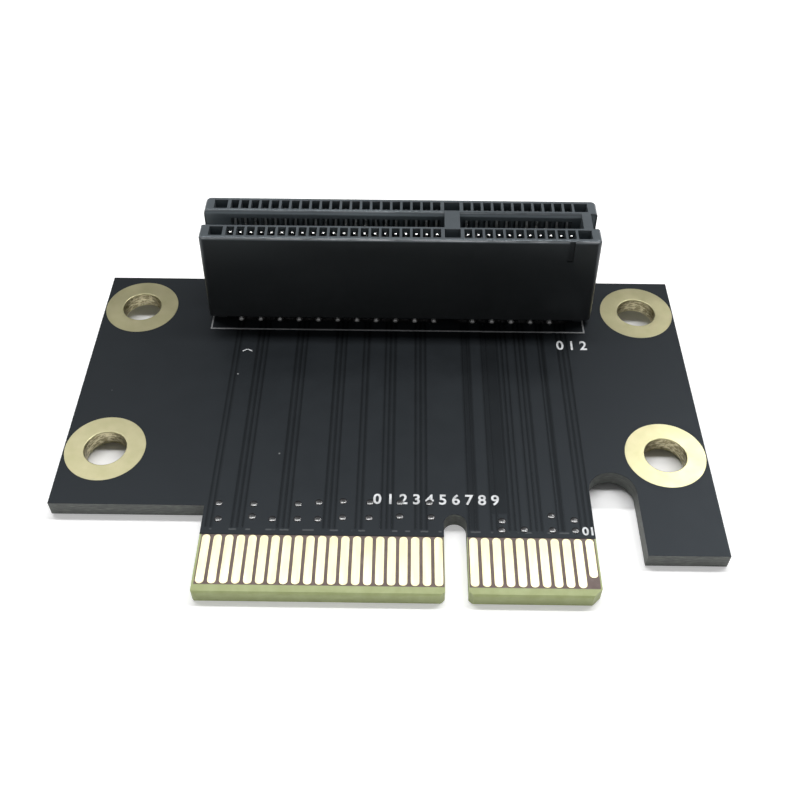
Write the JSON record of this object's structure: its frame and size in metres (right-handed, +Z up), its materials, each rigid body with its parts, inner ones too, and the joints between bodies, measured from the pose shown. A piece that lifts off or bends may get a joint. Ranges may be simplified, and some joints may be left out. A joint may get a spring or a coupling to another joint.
{
  "type": "pcie riser card",
  "caption": "Rigid circuit board with a gold card edge along its front, a vertical four-lane card socket soldered along its rear, and plated screw holes near its corners.",
  "frame": {"origin": "on the key notch's centre line, at the front of the card edge, on the underside of the laminate", "axes": "+X along the card edge towards its short contact group, +Y from the card edge to the socket, +Z up off the component side"},
  "size_m": [0.0595, 0.0386, 0.0135],
  "materials": {
    "laminate": "cut glass-fibre laminate, satin",
    "solder_mask": "black solder mask, gloss",
    "gold_plating": "gold plate, bright",
    "housing_plastic": "moulded black nylon, satin",
    "contact_metal": "plated copper alloy, satin",
    "solder": "solder, satin",
    "white_ink": "printed ink, matt"
  },
  "bodies": {
    "root": {"circuit_board": "laminate", "solder_mask_top": "solder_mask", "solder_mask_bottom": "solder_mask", "rear_left_hole_plating": "gold_plating", "rear_right_hole_plating": "gold_plating", "front_left_hole_plating": "gold_plating", "front_right_hole_plating": "gold_plating", "fingers_top_long": "gold_plating", "fingers_top_short": "gold_plating", "fingers_bottom_long": "gold_plating", "fingers_bottom_short": "gold_plating", "socket_housing": "housing_plastic", "contacts_near_outer_row": "contact_metal", "contacts_near_inner_row": "contact_metal", "contacts_far_outer_row": "contact_metal", "contacts_far_inner_row": "contact_metal", "solder_near_outer_row": "solder", "solder_near_inner_row": "solder", "solder_far_outer_row": "solder", "solder_far_inner_row": "solder", "socket_outline_print": "white_ink"}
  },
  "joints": []
}
